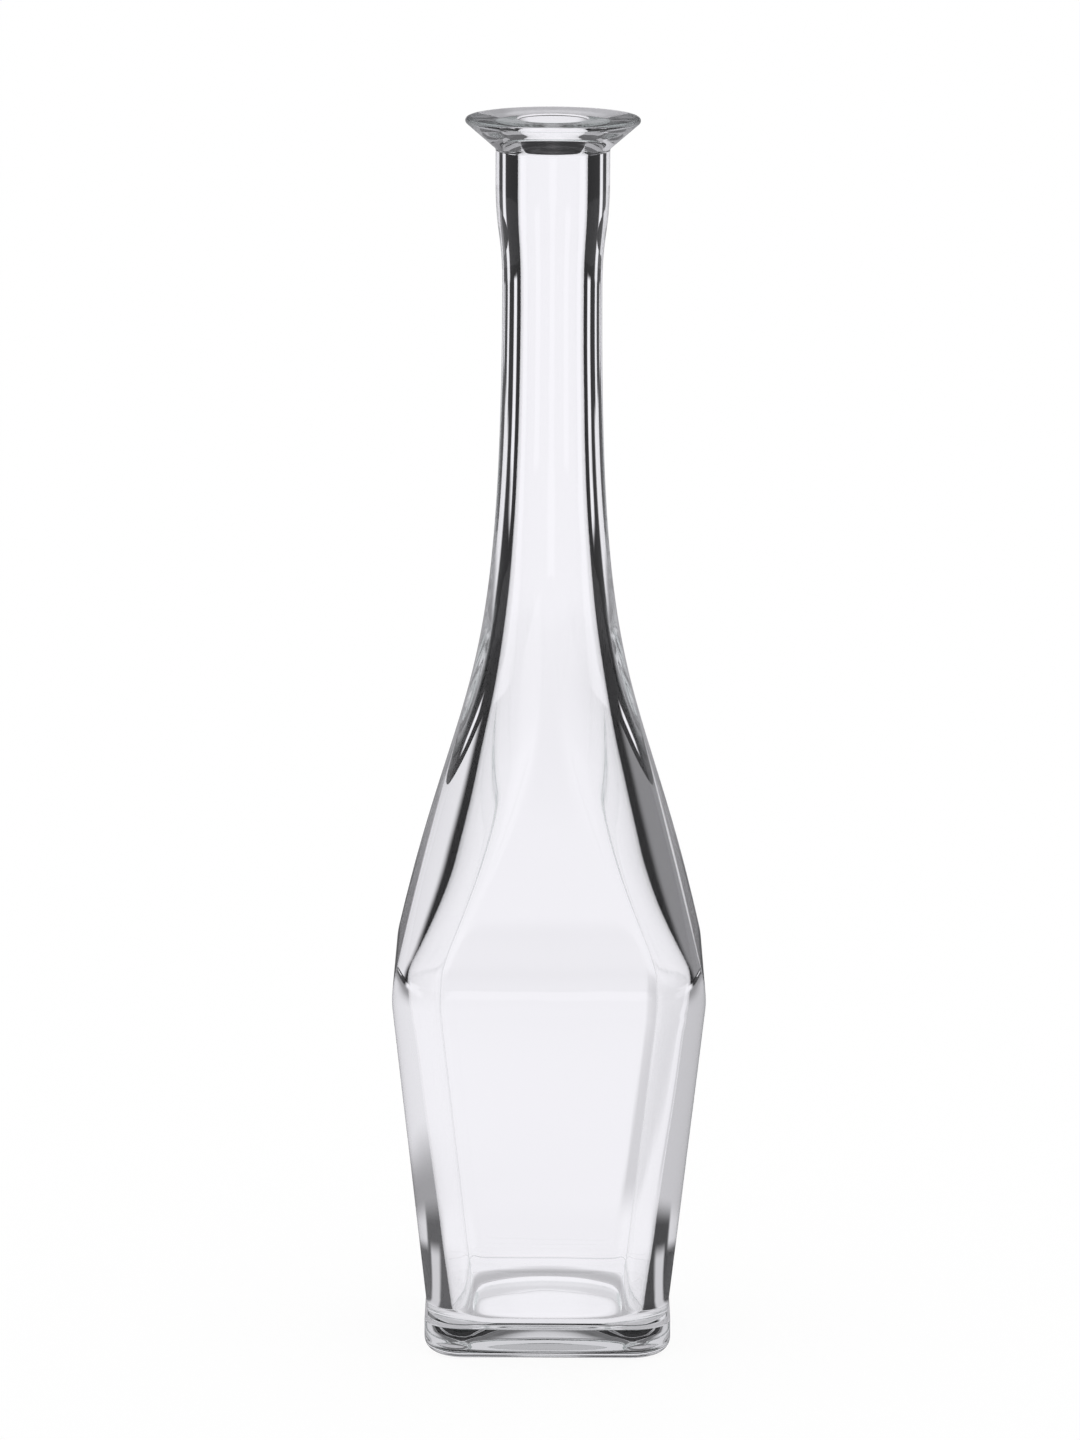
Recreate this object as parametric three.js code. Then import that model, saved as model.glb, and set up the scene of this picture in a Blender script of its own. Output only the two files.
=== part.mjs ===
import * as THREE from 'three';

// A clear glass oil bottle, blown in a mould as one piece of glass.
// Sizes are in millimetres. The base stands on z = 0 and the bottle's axis is +Z.
// Heights are measured up from the table, depths are measured down from the rim.

// Overall height from the table to the rim.
const HEIGHT = 305;

// Heel: the band that runs round the foot and stands proud of the body.
const HEEL_WIDTH = 61;
const HEEL_BAND_HEIGHT = 8.6;
const HEEL_STEP = 0.8;
const HEEL_STEP_RISE = 0.6;
const HEEL_ROUND = 3.6;

// Body: four flat flanks that lean out from the heel to the shoulder.
const SHOULDER_WIDTH = 76.8;
const SHOULDER_HEIGHT = 91.5;
const SHOULDER_ROUND = 24;
const CORNER_RADIUS = 10;

// Sweep: one long curve from the shoulder to the narrowest part of the neck.
// The lean is in degrees from upright, the two fullness values are shares of the sweep's own rise.
const SHOULDER_LEAN = 12.5;
const SWEEP_LOW_FULLNESS = 0.448;
const SWEEP_HIGH_FULLNESS = 0.622;

// The square section starts to turn round at this height and is a circle at this depth.
const TURN_START_HEIGHT = 106;
const TURN_END_DEPTH = 92;

// Neck and finish: the neck opens out again under the collar.
const NECK_DIAMETER = 24.4;
const NECK_DEPTH = 41;
const FINISH_DIAMETER = 27.8;
const FINISH_DEPTH = 15.5;

// Collar: a solid flare with a thin rounded edge and a flat land on top.
const COLLAR_DEPTH = 7.6;
const COLLAR_FILLET = 0.9;
const LIP_DIAMETER = 42.6;
const LIP_EDGE_RADIUS = 0.8;
const LAND_WIDTH = 4.8;
const LAND_DISH = 0.3;

// Mouth and bore.
const MOUTH_DIAMETER = 17;
const MOUTH_ROUND = 0.6;
const NECK_BORE = 15.4;

// Glass thickness of the body and the foot, and the corners of the inside.
const BODY_WALL = 3.4;
const FOOT_WALL = 3.8;
const INNER_SHOULDER_ROUND = 28;
const INNER_CORNER_RADIUS = 10.5;

// The inside leans in and turns round lower down than the outside, so the shoulder's corners are thick.
const INNER_LEAN = 20;
const INNER_LOW_FULLNESS = 0.36;
const INNER_HIGH_FULLNESS = 0.54;
const INNER_TURN_START_HEIGHT = 98;
const INNER_TURN_END_DEPTH = 130;

// Floor: thick at the ring, pushed up a little in the middle.
const FLOOR_THICKNESS = 8;
const FLOOR_FILLET = 4;
const FLOOR_CORNER_RADIUS = 12;
const FLOOR_RISE = 0.6;
const PUSH_UP_DIAMETER = 46;
const PUSH_UP_DEPTH = 2.2;

// Number of points round each ring, a multiple of four.
const AROUND = 48;

const RIGHT_ANGLE = Math.PI / 2;
const heelHalf = HEEL_WIDTH / 2;
const footHalf = heelHalf - HEEL_STEP;
const footHeight = HEEL_BAND_HEIGHT + HEEL_STEP_RISE;
const shoulderHalf = SHOULDER_WIDTH / 2;
const lean = THREE.MathUtils.degToRad(SHOULDER_LEAN);
const neckHeight = HEIGHT - NECK_DEPTH;
const turnEndHeight = HEIGHT - TURN_END_DEPTH;
const innerLean = THREE.MathUtils.degToRad(INNER_LEAN);
const innerTurnEndHeight = HEIGHT - INNER_TURN_END_DEPTH;
const finishHeight = HEIGHT - FINISH_DEPTH;
const collarHeight = HEIGHT - COLLAR_DEPTH;
const lipRadius = LIP_DIAMETER / 2;
const mouthRadius = MOUTH_DIAMETER / 2;

function point(x, z) {
  return new THREE.Vector2(x, z);
}

// A straight run, without its first point.
function line(from, to, steps) {
  const points = [];
  for (let i = 1; i <= steps; i += 1) {
    points.push(from.clone().lerp(to, i / steps));
  }
  return points;
}

// A round run about a centre, without its first point.
function arc(centre, radius, start, end, steps) {
  const points = [];
  for (let i = 1; i <= steps; i += 1) {
    const angle = start + ((end - start) * i) / steps;
    points.push(point(centre.x + radius * Math.cos(angle), centre.y + radius * Math.sin(angle)));
  }
  return points;
}

// A smooth run with two handles, without its first point.
function sweep(from, handleA, handleB, to, steps) {
  const curve = new THREE.CubicBezierCurve(from, handleA, handleB, to);
  return curve.getPoints(steps).slice(1);
}

// The line from a point that just touches the outer side of a circle.
function tangent(from, centre, radius) {
  const away = centre.clone().sub(from);
  const gap = away.length();
  const heading = Math.atan2(away.y, away.x) - Math.asin(radius / gap);
  const reach = Math.sqrt(gap * gap - radius * radius);
  const touch = point(from.x + reach * Math.cos(heading), from.y + reach * Math.sin(heading));
  return { touch, start: heading - RIGHT_ANGLE };
}

// Rings of the profile: half width, height and corner radius of the section.
const rings = [];

function add(points, cornerAt) {
  for (const p of points) {
    const corner = THREE.MathUtils.clamp(cornerAt(p.x, p.y), 0.2 * p.x, p.x);
    rings.push({ half: p.x, z: p.y, corner });
  }
}

const circle = (x) => x;
const heelCorner = (x) => CORNER_RADIUS - (heelHalf - x);
const { smoothstep, lerp } = THREE.MathUtils;
const outerTurn = (z) => smoothstep(z, TURN_START_HEIGHT, turnEndHeight);
const innerTurn = (z) => smoothstep(z, INNER_TURN_START_HEIGHT, innerTurnEndHeight);
const outerCorner = (x, z) => lerp(CORNER_RADIUS, x, outerTurn(z));
const innerCorner = (x, z) => lerp(INNER_CORNER_RADIUS, x, innerTurn(z));

// Underside: the push-up, then the flat ring that the bottle stands on.
const standEdge = point(heelHalf - HEEL_ROUND, 0);
const pushTop = point(0, PUSH_UP_DEPTH);
const pushEdge = point(Math.min(PUSH_UP_DIAMETER / 2, standEdge.x - 1), 0);
const pushA = point(pushEdge.x * 0.6, PUSH_UP_DEPTH);
const pushB = point(pushEdge.x * 0.9, 0.5 * PUSH_UP_DEPTH);
add(sweep(pushTop, pushA, pushB, pushEdge, 6), circle);
add([standEdge], heelCorner);

// Heel band and the small step back to the body.
add(arc(point(standEdge.x, HEEL_ROUND), HEEL_ROUND, -RIGHT_ANGLE, 0, 4), heelCorner);
const bandTop = point(heelHalf, HEEL_BAND_HEIGHT - HEEL_STEP_RISE);
add([bandTop], heelCorner);
const foot = point(footHalf, footHeight);
const bandA = point(heelHalf, HEEL_BAND_HEIGHT);
const bandB = point(footHalf, HEEL_BAND_HEIGHT);
add(sweep(bandTop, bandA, bandB, foot, 4), heelCorner);

// Flank, rounded shoulder and the long sweep to the neck.
const shoulderCentre = point(shoulderHalf - SHOULDER_ROUND, SHOULDER_HEIGHT);
const flank = tangent(foot, shoulderCentre, SHOULDER_ROUND);
add(line(foot, flank.touch, 3), outerCorner);
const shoulder = arc(shoulderCentre, SHOULDER_ROUND, flank.start, lean, 4);
add(shoulder, outerCorner);
const sweepStart = shoulder[shoulder.length - 1];
const neck = point(NECK_DIAMETER / 2, neckHeight);
const sweepRise = neck.y - sweepStart.y;
const lowReach = SWEEP_LOW_FULLNESS * sweepRise;
const highReach = SWEEP_HIGH_FULLNESS * sweepRise;
const sweepA = point(sweepStart.x - lowReach * Math.sin(lean), sweepStart.y + lowReach * Math.cos(lean));
const sweepB = point(neck.x, neck.y - highReach);
add(sweep(sweepStart, sweepA, sweepB, neck, 20), outerCorner);

// Neck opening out to the finish under the collar.
const finish = point(FINISH_DIAMETER / 2, finishHeight);
const finishReach = (finish.y - neck.y) / 2;
const finishA = point(neck.x, neck.y + finishReach);
const finishB = point(finish.x, finish.y - finishReach);
add(sweep(neck, finishA, finishB, finish, 6), circle);

// Collar: fillet, flare, rounded edge and the land on top.
const collarFoot = point(finish.x, collarHeight);
const lipCentre = point(lipRadius - LIP_EDGE_RADIUS, HEIGHT - LIP_EDGE_RADIUS);
const flare = tangent(collarFoot, lipCentre, LIP_EDGE_RADIUS);
const filletLow = point(finish.x, collarHeight - COLLAR_FILLET);
const flareWay = flare.touch.clone().sub(collarFoot).normalize();
const filletHigh = collarFoot.clone().addScaledVector(flareWay, COLLAR_FILLET);
add([filletLow], circle);
add(sweep(filletLow, collarFoot, collarFoot, filletHigh, 3), circle);
add(line(filletHigh, flare.touch, 1), circle);
add(arc(lipCentre, LIP_EDGE_RADIUS, flare.start, RIGHT_ANGLE, 5), circle);
const landInner = point(lipCentre.x - LAND_WIDTH, HEIGHT);
add([landInner], circle);

// Shallow dish down to the mouth, then the bore.
const mouthCentre = point(mouthRadius + MOUTH_ROUND, HEIGHT - LAND_DISH - MOUTH_ROUND);
const mouthEdge = point(mouthCentre.x, HEIGHT - LAND_DISH);
const dishReach = (landInner.x - mouthEdge.x) / 2;
const dishA = point(landInner.x - dishReach, HEIGHT);
const dishB = point(mouthEdge.x + dishReach, mouthEdge.y);
add(sweep(landInner, dishA, dishB, mouthEdge, 3), circle);
add(arc(mouthCentre, MOUTH_ROUND, RIGHT_ANGLE, 2 * RIGHT_ANGLE, 4), circle);
const boreTop = point(mouthRadius, finishHeight);
add([boreTop], circle);
const bore = point(NECK_BORE / 2, neckHeight);
const boreReach = (boreTop.y - bore.y) / 2;
const boreA = point(boreTop.x, boreTop.y - boreReach);
const boreB = point(bore.x, bore.y + boreReach);
add(sweep(boreTop, boreA, boreB, bore, 5), circle);

// Inside of the sweep, the shoulder and the flank.
const innerHalf = shoulderHalf - BODY_WALL;
const innerCentre = point(innerHalf - INNER_SHOULDER_ROUND, SHOULDER_HEIGHT);
const innerFoot = point(footHalf - FOOT_WALL, FLOOR_THICKNESS + FLOOR_FILLET);
const innerFlank = tangent(innerFoot, innerCentre, INNER_SHOULDER_ROUND);
const innerShoulder = arc(innerCentre, INNER_SHOULDER_ROUND, innerLean, innerFlank.start, 4);
const innerTop = point(
  innerCentre.x + INNER_SHOULDER_ROUND * Math.cos(innerLean),
  innerCentre.y + INNER_SHOULDER_ROUND * Math.sin(innerLean),
);
const innerRise = bore.y - innerTop.y;
const innerLow = INNER_LOW_FULLNESS * innerRise;
const innerHigh = INNER_HIGH_FULLNESS * innerRise;
const innerA = point(bore.x, bore.y - innerHigh);
const innerB = point(
  innerTop.x - innerLow * Math.sin(innerLean),
  innerTop.y + innerLow * Math.cos(innerLean),
);
add(sweep(bore, innerA, innerB, innerTop, 18), innerCorner);
add(innerShoulder, innerCorner);
add(line(innerFlank.touch, innerFoot, 3), innerCorner);

// Floor: a fillet, then a low dome over the push-up.
const floorCentre = point(innerFoot.x - FLOOR_FILLET, innerFoot.y);
const filletShare = (x) => (innerFoot.x - x) / FLOOR_FILLET;
const floorFilletCorner = (x) => lerp(INNER_CORNER_RADIUS, FLOOR_CORNER_RADIUS, filletShare(x));
add(arc(floorCentre, FLOOR_FILLET, 0, -RIGHT_ANGLE, 4), floorFilletCorner);
const floorEdge = point(floorCentre.x, FLOOR_THICKNESS);
const floorTop = point(0, FLOOR_THICKNESS + FLOOR_RISE);
const floorA = point(floorEdge.x * 0.6, FLOOR_THICKNESS);
const floorB = point(floorEdge.x * 0.5, floorTop.y);
const edgeShare = FLOOR_CORNER_RADIUS / floorEdge.x;
const floorCorner = (x) => x * lerp(1, edgeShare, x / floorEdge.x);
add(sweep(floorEdge, floorA, floorB, floorTop, 4).slice(0, -1), floorCorner);

// Distance from the axis to a rounded square, along a direction.
function reachOf(angle, half, corner) {
  const folded = Math.abs(angle - Math.round(angle / RIGHT_ANGLE) * RIGHT_ANGLE);
  const flat = half - corner;
  const cos = Math.cos(folded);
  const sin = Math.sin(folded);
  if (half * Math.tan(folded) <= flat) {
    return half / cos;
  }
  const inside = corner * corner - flat * flat * (cos - sin) * (cos - sin);
  return flat * (cos + sin) + Math.sqrt(Math.max(inside, 0));
}

// Directions round the bottle, closer together at the four corners.
function directionOf(index) {
  const perQuarter = AROUND / 4;
  const quarter = Math.floor(index / perQuarter);
  const u = (2 * (index - quarter * perQuarter)) / perQuarter - 1;
  const bent = 0.35 * u + 0.65 * u * u * u;
  return quarter * RIGHT_ANGLE + (RIGHT_ANGLE / 2) * (1 + bent);
}

// Skin over the rings, closed by one point under the base and one on the floor.
function skin() {
  const positions = [0, 0, PUSH_UP_DEPTH];
  for (const ring of rings) {
    for (let i = 0; i < AROUND; i += 1) {
      const angle = directionOf(i);
      const reach = reachOf(angle, ring.half, ring.corner);
      positions.push(reach * Math.cos(angle), reach * Math.sin(angle), ring.z);
    }
  }
  positions.push(0, 0, floorTop.y);
  const last = rings.length * AROUND + 1;
  const at = (ring, i) => 1 + ring * AROUND + (i % AROUND);
  const faces = [];
  for (let i = 0; i < AROUND; i += 1) {
    faces.push(0, at(0, i + 1), at(0, i));
    for (let ring = 0; ring + 1 < rings.length; ring += 1) {
      faces.push(at(ring, i), at(ring, i + 1), at(ring + 1, i + 1));
      faces.push(at(ring, i), at(ring + 1, i + 1), at(ring + 1, i));
    }
    faces.push(at(rings.length - 1, i), at(rings.length - 1, i + 1), last);
  }
  const geometry = new THREE.BufferGeometry();
  geometry.setAttribute('position', new THREE.Float32BufferAttribute(positions, 3));
  geometry.setIndex(faces);
  geometry.computeVertexNormals();
  return geometry;
}

const clearGlass = new THREE.MeshStandardMaterial({
  name: 'clear_glass',
  color: 0xe3eae8,
  roughness: 0.04,
  metalness: 0,
  transparent: true,
  opacity: 0.45,
});

const bottle = new THREE.Mesh(skin(), clearGlass);
bottle.name = 'glass_bottle';

const object = new THREE.Group();
object.name = 'oil_bottle';
object.add(bottle);

export default object;
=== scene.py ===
# %% [markdown]
# # A clear glass oil bottle
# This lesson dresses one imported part, a tall bottle of clear glass, so that it looks like the real thing.
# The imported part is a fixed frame: it gives the place and the size, and nothing here moves it.
# The looks of glass come from three things, and the lesson takes them in this order: a smooth, true
# shape with a wall of real thickness, a clear material that bends light, and a studio for it to bend.

# %% Load the fixed frame
import math
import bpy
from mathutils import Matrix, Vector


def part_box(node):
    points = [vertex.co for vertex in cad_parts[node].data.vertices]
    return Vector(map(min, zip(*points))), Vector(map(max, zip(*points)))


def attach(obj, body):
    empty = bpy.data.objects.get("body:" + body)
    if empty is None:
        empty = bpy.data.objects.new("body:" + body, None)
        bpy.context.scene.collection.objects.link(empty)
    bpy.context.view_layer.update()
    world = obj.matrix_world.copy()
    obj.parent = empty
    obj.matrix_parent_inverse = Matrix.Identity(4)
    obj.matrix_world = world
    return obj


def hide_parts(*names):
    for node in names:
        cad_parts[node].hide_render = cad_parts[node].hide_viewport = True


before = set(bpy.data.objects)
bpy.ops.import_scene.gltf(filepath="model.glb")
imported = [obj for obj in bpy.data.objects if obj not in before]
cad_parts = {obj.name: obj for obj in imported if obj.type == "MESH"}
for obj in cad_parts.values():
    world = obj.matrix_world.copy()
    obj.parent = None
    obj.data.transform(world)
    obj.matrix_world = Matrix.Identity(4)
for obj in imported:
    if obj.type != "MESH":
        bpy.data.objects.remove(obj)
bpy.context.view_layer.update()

from types import SimpleNamespace

import bpy

# %% Overall sizes, read from the frame
MM = 0.001
box_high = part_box("glass_bottle")[1]
HEIGHT = box_high.z
SHOULDER_HALF = box_high.x
print(f"bottle: {HEIGHT / MM:.1f} mm tall, {2 * SHOULDER_HALF / MM:.1f} mm across the shoulder")

# %% [markdown]
# ## The profile, as a row of stations
# The bottle is one blown piece with two skins: the outside, which the mould shaped, and the inside, which
# the air shaped. Cut it in half and look at the cut: one line runs from under the base, out round the heel,
# up the flank, over the rim, down the bore and along the floor. The line could be drawn by hand as a list
# of points, but straight runs, arcs and Bezier curves say why each point is where it is, and they can be
# cut as finely as glass needs. Heights are measured up from the table, in metres.

# %% Straight runs and arcs
RIGHT_ANGLE = math.pi / 2


def run(start, end, steps):
    """Points along a straight line, without the first."""
    shares = [i / steps for i in range(1, steps + 1)]
    return [tuple(a + (b - a) * t for a, b in zip(start, end)) for t in shares]


def arc(centre, radius, start, end, steps):
    """Points round a circle, without the first."""
    angles = [start + (end - start) * i / steps for i in range(1, steps + 1)]
    return [(centre[0] + radius * math.cos(a), centre[1] + radius * math.sin(a)) for a in angles]


def tangent(start, centre, radius):
    """Where a line from a point touches the outer side of a circle, and the circle's angle there."""
    gap = math.dist(start, centre)
    heading = math.atan2(centre[1] - start[1], centre[0] - start[0]) - math.asin(radius / gap)
    reach = math.sqrt(gap * gap - radius * radius)
    touch = (start[0] + reach * math.cos(heading), start[1] + reach * math.sin(heading))
    return touch, heading - RIGHT_ANGLE


print("a run in two steps:", run((0, 0), (2, 4), steps=2))

# %% Sweeps, which are Bezier curves


def sweep(start, handle_a, handle_b, end, steps):
    """Points along a Bezier curve, without the first."""
    points = []
    for i in range(1, steps + 1):
        t = i / steps
        weights = ((1 - t) ** 3, 3 * t * (1 - t) ** 2, 3 * t * t * (1 - t), t ** 3)
        corners = (start, handle_a, handle_b, end)
        points.append(tuple(sum(w * c[k] for w, c in zip(weights, corners)) for k in (0, 1)))
    return points


def ease(start, end, steps):
    """A smooth step between two upright points."""
    middle = (start[1] + end[1]) / 2
    return sweep(start, (start[0], middle), (end[0], middle), end, steps)


def neck_sweep(low, high, lean, fullness, steps):
    """The long curve from a leaning shoulder point to an upright neck point."""
    rise = high[1] - low[1]
    reach = fullness[0] * rise
    handle_low = (low[0] - reach * math.sin(lean), low[1] + reach * math.cos(lean))
    handle_high = (high[0], high[1] - fullness[1] * rise)
    return sweep(low, handle_low, handle_high, high, steps)


print("an ease in two steps:", ease((0, 0), (1, 2), steps=2))

# %% Stations: half width, height, corner radius and ripple
TIGHTEST_CORNER = 0.2
stations = []


def mix(a, b, share):
    return a + (b - a) * share


def lay(points, corner_at, ripple=0.0):
    """Adds stations to the profile, with the section's corner kept between square and round."""
    for half, height in points:
        corner = min(max(corner_at(half, height), TIGHTEST_CORNER * half), half)
        stations.append((half, height, corner, ripple))


def turned(height, start, end):
    """How far the section has turned from square to round at a height, from 0 to 1."""
    share = min(max((height - start) / (end - start), 0.0), 1.0)
    return share * share * (3 - 2 * share)


def circle(half, height):
    return half


print("half way up a turn from 1 m to 3 m:", turned(2.0, 1.0, 3.0))

# %% [markdown]
# ## The outside
# The mould pushes the middle of the base up, so that the bottle stands on a flat ring, and it leaves a heel
# band that stands proud of the foot by less than a millimetre. Four flat flanks widen from there up to the
# shoulder, and one long sweep leads on to the slim neck. Each stretch has its own sizes and its own rule for
# the corner of the square. The push-up is round and the ring's outer edge is square, so the corner has to
# change across the ring already, and it changes again, slowly, on the way up to the round neck.

# %% The push-up and the ring under the base
PUSH_UP_RADIUS = 23 * MM
PUSH_UP_DEPTH = 2.2 * MM
PUSH_UP_HANDLES = ((0.6, 1.0), (0.9, 0.5))
HEEL_HALF = 30.5 * MM
HEEL_ROUND = 3.6 * MM
CORNER_RADIUS = 10 * MM

push_top = (0.0, PUSH_UP_DEPTH)
push_edge = (PUSH_UP_RADIUS, 0.0)
push_handles = [(x * PUSH_UP_RADIUS, z * PUSH_UP_DEPTH) for x, z in PUSH_UP_HANDLES]
stand_edge = (HEEL_HALF - HEEL_ROUND, 0.0)


def ring_corner(half, height):
    """From the round push-up to the square outer edge of the ring."""
    share = (half - PUSH_UP_RADIUS) / (stand_edge[0] - PUSH_UP_RADIUS)
    return mix(PUSH_UP_RADIUS, CORNER_RADIUS - HEEL_ROUND, share)


lay([push_top], circle)
lay(sweep(push_top, *push_handles, push_edge, steps=14), circle)
lay(run(push_edge, stand_edge, steps=6), ring_corner)
print(f"the bottle stands on a ring {2 * stand_edge[0] / MM:.1f} mm across")

# %% The heel band and its step
HEEL_BAND_HEIGHT = 8.6 * MM
HEEL_STEP = 0.8 * MM
HEEL_STEP_RISE = 0.6 * MM

band_top = (HEEL_HALF, HEEL_BAND_HEIGHT - HEEL_STEP_RISE)
foot = (HEEL_HALF - HEEL_STEP, HEEL_BAND_HEIGHT + HEEL_STEP_RISE)
step_handles = ((HEEL_HALF, HEEL_BAND_HEIGHT), (foot[0], HEEL_BAND_HEIGHT))


def heel_corner(half, height):
    return CORNER_RADIUS - (HEEL_HALF - half)


lay(arc((stand_edge[0], HEEL_ROUND), HEEL_ROUND, -RIGHT_ANGLE, 0, steps=10), heel_corner)
lay(run((HEEL_HALF, HEEL_ROUND), band_top, steps=3), heel_corner)
lay(sweep(band_top, *step_handles, foot, steps=10), heel_corner)
print(f"heel band: {2 * HEEL_HALF / MM:.1f} mm across, {HEEL_BAND_HEIGHT / MM:.1f} mm high")

# %% The flank and the shoulder
SHOULDER_HEIGHT = 91.5 * MM
SHOULDER_ROUND = 24 * MM
SHOULDER_LEAN = math.radians(12.5)
TURN_START = 106 * MM
TURN_END = HEIGHT - 92 * MM


def outer_corner(half, height):
    return mix(CORNER_RADIUS, half, turned(height, TURN_START, TURN_END))


shoulder_centre = (SHOULDER_HALF - SHOULDER_ROUND, SHOULDER_HEIGHT)
flank_top, flank_angle = tangent(foot, shoulder_centre, SHOULDER_ROUND)
shoulder = arc(shoulder_centre, SHOULDER_ROUND, flank_angle, SHOULDER_LEAN, steps=10)
lay(run(foot, flank_top, steps=28), outer_corner)
lay(shoulder, outer_corner)
flank_lean = -math.degrees(flank_angle)
print(f"the flank ends {flank_top[1] / MM:.1f} mm up and leans out by {flank_lean:.1f} degrees")

# %% The sweep and the neck
SWEEP_FULLNESS = (0.448, 0.622)
NECK_RADIUS = 12.2 * MM
NECK_HEIGHT = HEIGHT - 41 * MM
FINISH_RADIUS = 13.9 * MM
FINISH_HEIGHT = HEIGHT - 15.5 * MM

neck = (NECK_RADIUS, NECK_HEIGHT)
finish = (FINISH_RADIUS, FINISH_HEIGHT)
lay(neck_sweep(shoulder[-1], neck, SHOULDER_LEAN, SWEEP_FULLNESS, steps=60), outer_corner)
lay(ease(neck, finish, steps=16), circle)
print(f"neck: {2 * NECK_RADIUS / MM:.1f} mm at its slimmest")

# %% [markdown]
# ## The collar and the mouth
# The collar is turned out while the neck is still soft: a cone that flares to a thin lip, with a flat land
# on top and a slight dish down to the mouth. Sharp corners would look cut from stone, so the cone starts
# with a small fillet, and the lip and the mouth end in small arcs, which catch the light as fire-polished
# glass does.

# %% The flared collar and its lip
COLLAR_HEIGHT = HEIGHT - 7.6 * MM
COLLAR_FILLET = 0.9 * MM
LIP_RADIUS = 21.3 * MM
LIP_EDGE_RADIUS = 0.8 * MM

collar_foot = (FINISH_RADIUS, COLLAR_HEIGHT)
lip_centre = (LIP_RADIUS - LIP_EDGE_RADIUS, HEIGHT - LIP_EDGE_RADIUS)
lip_touch, lip_angle = tangent(collar_foot, lip_centre, LIP_EDGE_RADIUS)
fillet_share = COLLAR_FILLET / math.dist(collar_foot, lip_touch)
fillet_low = (FINISH_RADIUS, COLLAR_HEIGHT - COLLAR_FILLET)
fillet_high = tuple(mix(a, b, fillet_share) for a, b in zip(collar_foot, lip_touch))
lay(run(finish, fillet_low, steps=4), circle)
lay(sweep(fillet_low, collar_foot, collar_foot, fillet_high, steps=6), circle)
lay(run(fillet_high, lip_touch, steps=5), circle)
lay(arc(lip_centre, LIP_EDGE_RADIUS, lip_angle, RIGHT_ANGLE, steps=10), circle)
print(f"lip: {2 * LIP_RADIUS / MM:.1f} mm across")

# %% The land, the mouth and the bore
LAND_WIDTH = 4.8 * MM
LAND_DISH = 0.3 * MM
MOUTH_RADIUS = 8.5 * MM
MOUTH_ROUND = 0.6 * MM
BORE_RADIUS = 7.7 * MM

land_inner = (lip_centre[0] - LAND_WIDTH, HEIGHT)
mouth_centre = (MOUTH_RADIUS + MOUTH_ROUND, HEIGHT - LAND_DISH - MOUTH_ROUND)
mouth_edge = (mouth_centre[0], HEIGHT - LAND_DISH)
dish_middle = (land_inner[0] + mouth_edge[0]) / 2
dish_handles = ((dish_middle, HEIGHT), (dish_middle, mouth_edge[1]))
bore_top = (MOUTH_RADIUS, FINISH_HEIGHT)
bore = (BORE_RADIUS, NECK_HEIGHT)
lay(run((lip_centre[0], HEIGHT), land_inner, steps=4), circle)
lay(sweep(land_inner, *dish_handles, mouth_edge, steps=8), circle)
lay(arc(mouth_centre, MOUTH_ROUND, RIGHT_ANGLE, 2 * RIGHT_ANGLE, steps=8), circle)
lay(run((MOUTH_RADIUS, mouth_centre[1]), bore_top, steps=4), circle)
lay(ease(bore_top, bore, steps=12), circle)
print(f"mouth: {2 * MOUTH_RADIUS / MM:.1f} mm wide")

# %% [markdown]
# ## The inside
# The air that blew the bottle left an inside that is softer than the outside: its square turns round earlier,
# its shoulder is rounder, and its floor is thick and slightly raised. It could be made by offsetting the
# outside, but then every wall would be equally thick, and the dark lines of a real bottle come from a wall
# that isn't. A ripple of a sixth of a millimetre is noted for the blown stretch alone.

# %% The inner sweep, shoulder and flank
RIPPLE = 0.16 * MM
BODY_WALL = 3.4 * MM
FOOT_WALL = 3.8 * MM
FLOOR_THICKNESS = 8 * MM
FLOOR_FILLET = 4 * MM
INNER_SHOULDER_ROUND = 28 * MM
INNER_CORNER_RADIUS = 10.5 * MM
INNER_TURN_START = 98 * MM
INNER_TURN_END = 175 * MM
INNER_LEAN = math.radians(20)
INNER_FULLNESS = (0.36, 0.54)


def inner_corner(half, height):
    return mix(INNER_CORNER_RADIUS, half, turned(height, INNER_TURN_START, INNER_TURN_END))


inner_half = SHOULDER_HALF - BODY_WALL
inner_centre = (inner_half - INNER_SHOULDER_ROUND, SHOULDER_HEIGHT)
inner_foot = (foot[0] - FOOT_WALL, FLOOR_THICKNESS + FLOOR_FILLET)
inner_flank_top, inner_flank_angle = tangent(inner_foot, inner_centre, INNER_SHOULDER_ROUND)
inner_shoulder = arc(inner_centre, INNER_SHOULDER_ROUND, inner_flank_angle, INNER_LEAN, steps=10)
inner_sweep = neck_sweep(inner_shoulder[-1], bore, INNER_LEAN, INNER_FULLNESS, steps=55)
lay(inner_sweep[-2::-1], inner_corner, RIPPLE)
lay(inner_shoulder[::-1], inner_corner, RIPPLE)
lay(run(inner_flank_top, inner_foot, steps=26), inner_corner, RIPPLE)
print(f"wall: {BODY_WALL / MM:.1f} mm at the shoulder, {FOOT_WALL / MM:.1f} mm at the foot")

# %% The floor
FLOOR_CORNER = 12 * MM
FLOOR_RISE = 0.6 * MM
FLOOR_HANDLES = (0.6, 0.5)

floor_centre = (inner_foot[0] - FLOOR_FILLET, inner_foot[1])
floor_edge = (floor_centre[0], FLOOR_THICKNESS)
floor_top = (0.0, FLOOR_THICKNESS + FLOOR_RISE)
handle_ends = zip(FLOOR_HANDLES, (floor_edge, floor_top))
floor_handles = [(share * floor_edge[0], end[1]) for share, end in handle_ends]


def fillet_corner(half, height):
    return mix(INNER_CORNER_RADIUS, FLOOR_CORNER, (inner_foot[0] - half) / FLOOR_FILLET)


def floor_corner(half, height):
    """A rounded square at the floor's edge that becomes a circle in the middle."""
    return half * mix(1, FLOOR_CORNER / floor_edge[0], half / floor_edge[0])


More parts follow.
